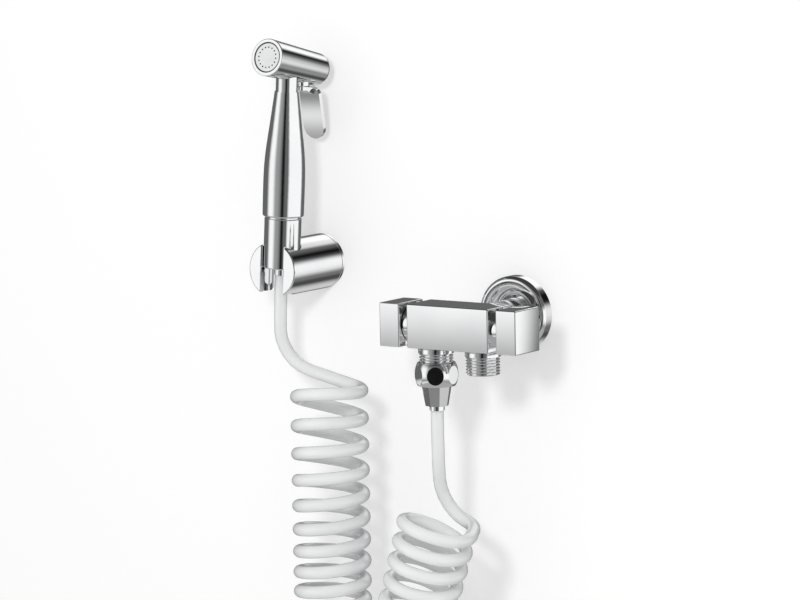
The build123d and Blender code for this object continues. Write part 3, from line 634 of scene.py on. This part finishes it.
head_height = 0.1298
head_droop = math.radians(12.3)
plate_front = -0.0227
nozzle_length = 0.0013
nozzle_seat = 0.0002
tip_height = plate_front + nozzle_length - nozzle_seat
spray_place = Matrix.Translation(spray_foot) @ Matrix.Rotation(spray_lean, 4, "Y")
head_turn = Matrix.Rotation(-math.pi / 2 - head_droop, 4, "X")
head_place = spray_place @ Matrix.Translation((0, 0, head_height)) @ head_turn
face_place = head_place @ Matrix.Translation((0, 0, tip_height)) @ Matrix.Rotation(math.pi, 4, "X")
# The nozzles take the black rubber finish, and that black is painted shade for the dark inside the spray
# holes.
nozzles = run_recipe(ring, bpy.data.meshes.new("nozzle_start"), "spray_nozzles_and_hole_shade", {
    "Count": 16, "Ring Radius": 0.0064, "Nozzle Radius": 0.00056, "Length": nozzle_length,
    "Place": tuple(face_place.to_translation()), "Turn": tuple(face_place.to_euler()), "Finish": rubber,
})
print("middle of the spray face:", [round(v, 4) for v in face_place.to_translation()])

# %% [markdown]
# A chrome piece is a picture of the room round it. A catalogue studio hangs white soft boxes and black
# flags round the product, and their edges draw the crisp stripes along a tube. Real panels could be
# modelled, but a world that depends only on direction does the same for the reflections of every piece.
# Each panel below has a heading, in degrees round from straight out of the wall, and a height, from the
# floor at -1 to the ceiling at 1. Its brightness is written as it looks in the picture, and a power of
# 2.2 turns that into light.

# %% Studio world
world = bpy.data.worlds.new("studio")
bpy.context.scene.world = world
world.use_nodes = True
sky = world.node_tree
sky.nodes.clear()
display_gamma = 2.2


def reckon(operation, *values):
    """One sum in the world's tree."""
    return put(sky, "ShaderNodeMath", dict(enumerate(values)), operation=operation).outputs[0]


direction = put(sky, "ShaderNodeTexCoord").outputs["Generated"]
parts = put(sky, "ShaderNodeSeparateXYZ", {0: direction}).outputs
turn_round = reckon("ARCTAN2", parts[0], reckon("MULTIPLY", parts[1], -1.0))
heading = reckon("DEGREES", turn_round)


def lit(brightness):
    """Colour of light that looks that bright in the picture."""
    light = brightness ** display_gamma
    return (light, light, light, 1)


def within(distance, half, soft):
    """Mask that is 1 inside a half width and falls to 0 over a soft edge."""
    return put(sky, "ShaderNodeMapRange", {
        "Value": distance, "From Min": half - soft / 2, "From Max": half + soft / 2,
        "To Min": 1.0, "To Max": 0.0,
    }, interpolation_type="SMOOTHSTEP").outputs[0]


# Name: heading, half width and soft edge in degrees; height, half height and soft edge; brightness.
panels = {
    "pale floor": ((0, 400, 10), (-1.0, 0.5, 0.2), 0.65),
    "grey front": ((-5, 15, 30), (0.0, 0.5, 0.2), 0.6),
    "left soft box": ((-40, 20, 25), (0.1, 0.4, 0.4), 1.0),
    "low strip for the lever": ((-40, 25, 15), (-0.5, 0.05, 0.1), 0.9),
    "black flag beside the camera": ((28, 8, 14), (0.0, 0.5, 0.1), 0.1),
    "right soft box": ((105, 45, 15), (-0.1, 0.3, 0.3), 1.0),
    "black flag high on the right": ((158, 10, 10), (0.35, 0.14, 0.15), 0.1),
    "white panel high behind": ((192, 20, 14), (0.45, 0.15, 0.15), 1.05),
    "grey flag low on the right": ((167, 10, 14), (-0.6, 0.14, 0.12), 0.3),
    "white bounce low behind": ((203, 17, 14), (-0.5, 0.12, 0.15), 0.8),
    "dark ceiling": ((0, 400, 10), (1.0, 0.35, 0.1), 0.25),
}
room_brightness = 0.4
surround = lit(room_brightness)
for panel, (across, upright, brightness) in panels.items():
    turned_by = reckon("WRAP", reckon("SUBTRACT", heading, float(across[0])), 180.0, -180.0)
    sideways = reckon("ABSOLUTE", turned_by)
    upwards = reckon("ABSOLUTE", reckon("SUBTRACT", parts[2], upright[0]))
    mask = reckon("MULTIPLY", within(sideways, *across[1:]), within(upwards, *upright[1:]))
    mix = put(sky, "ShaderNodeMix", {
        "Factor": mask, "A": surround, "B": lit(brightness),
    }, data_type="RGBA")
    mix.label = panel
    surround = mix.outputs["Result"]
print("panels of the studio:", len(panels))

# %% [markdown]
# The stripes are only for the metal. Matt surfaces get one even light from all round, so that their
# colours come out as they are written, and the camera sees plain white where there is no wall. Light
# Path tells the three kinds of ray apart, so no lamp has to be brighter than the object needs.

# %% Rays of the world
plain_light = 0.70
path = put(sky, "ShaderNodeLightPath").outputs
plain = put(sky, "ShaderNodeMix", {
    "Factor": path["Is Camera Ray"], "A": (plain_light, plain_light, plain_light, 1), "B": (1, 1, 1, 1),
}, data_type="RGBA")
seen = put(sky, "ShaderNodeMix", {
    "Factor": path["Is Glossy Ray"], "A": plain.outputs["Result"], "B": surround,
}, data_type="RGBA")
background = put(sky, "ShaderNodeBackground", {0: seen.outputs["Result"]})
put(sky, "ShaderNodeOutputWorld", {0: background.outputs[0]})
print("nodes in the world:", len(sky.nodes))

# %% [markdown]
# The wall is white and carries only a faint shadow, as on a retouched catalogue page. Its material is
# part light of its own, for camera rays, and part matt white, which is what the shadow falls on. It has
# one side: seen from behind it is clear, so that the back of the set can be looked at too. It does not
# show in the chrome, which mirrors the panels alone.

# %% Wall
wall_size = 3.0
wall_mesh = bpy.data.meshes.new("wall")
corners = [
    (-wall_size, 0, -wall_size), (wall_size, 0, -wall_size),
    (wall_size, 0, wall_size), (-wall_size, 0, wall_size),
]
wall_mesh.from_pydata(corners, [], [(0, 1, 2, 3)])
wall = add(wall_mesh, "wall")
wall.visible_glossy = False

plaster = bpy.data.materials.new("white_wall")
plaster.use_nodes = True
tree = plaster.node_tree
tree.nodes.remove(tree.nodes["Principled BSDF"])
own_light = 0.34
matt = put(tree, "ShaderNodeBsdfDiffuse", {0: (0.7, 0.7, 0.7, 1)})
to_camera = put(tree, "ShaderNodeLightPath").outputs["Is Camera Ray"]
strength = put(tree, "ShaderNodeMath", {0: to_camera, 1: own_light}, operation="MULTIPLY")
glow = put(tree, "ShaderNodeEmission", {"Color": (1, 1, 1, 1), "Strength": strength.outputs[0]})
front = put(tree, "ShaderNodeAddShader", {0: matt.outputs[0], 1: glow.outputs[0]})
clear = put(tree, "ShaderNodeBsdfTransparent")
backface = put(tree, "ShaderNodeNewGeometry").outputs["Backfacing"]
one_sided = put(tree, "ShaderNodeMixShader", {0: backface, 1: front.outputs[0], 2: clear.outputs[0]})
tree.links.new(one_sided.outputs[0], tree.nodes["Material Output"].inputs[0])
wall.data.materials.append(plaster)

# %% [markdown]
# One small soft lamp gives the faint shadow that ties the set to its wall. It stands a little above the
# camera and nearer to the middle, so that each shadow falls to the right of its piece in the picture
# and a little below it. A wider lamp would spread the shadow until nothing of it was left. It is hidden
# from the metal, where it would draw a square spot among the panels.

# %% Lamp
lamp_distance = 1.5
lamp_heading = math.radians(20)
lamp_height = math.radians(19)
lamp_data = bpy.data.lights.new("soft_lamp", "AREA")
lamp_data.energy = 7.8
lamp_data.size = 0.2
lamp = bpy.data.objects.new("soft_lamp", lamp_data)
lamp_way = Vector((
    math.sin(lamp_heading) * math.cos(lamp_height),
    -math.cos(lamp_heading) * math.cos(lamp_height),
    math.sin(lamp_height),
))
lamp.location = view_target + lamp_way * lamp_distance
lamp.rotation_euler = lamp_way.to_track_quat("Z", "Y").to_euler()
lamp.visible_glossy = False
bpy.context.scene.collection.objects.link(lamp)
bpy.context.scene.view_settings.view_transform = "Standard"
print("lamp at", [round(v, 2) for v in lamp.location])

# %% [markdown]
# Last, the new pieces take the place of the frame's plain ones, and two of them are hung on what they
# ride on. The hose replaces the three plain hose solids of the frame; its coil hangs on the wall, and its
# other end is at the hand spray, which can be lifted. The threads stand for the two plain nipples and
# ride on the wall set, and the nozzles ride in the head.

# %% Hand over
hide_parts("hose_coil", "hose_spray_end", "hose_valve_end")
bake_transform(hose)
for side, nipple in nipples:
    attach(nipple, "wall_set")
    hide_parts("outlet_nipple_" + side)
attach(nozzles, "hand_spray")
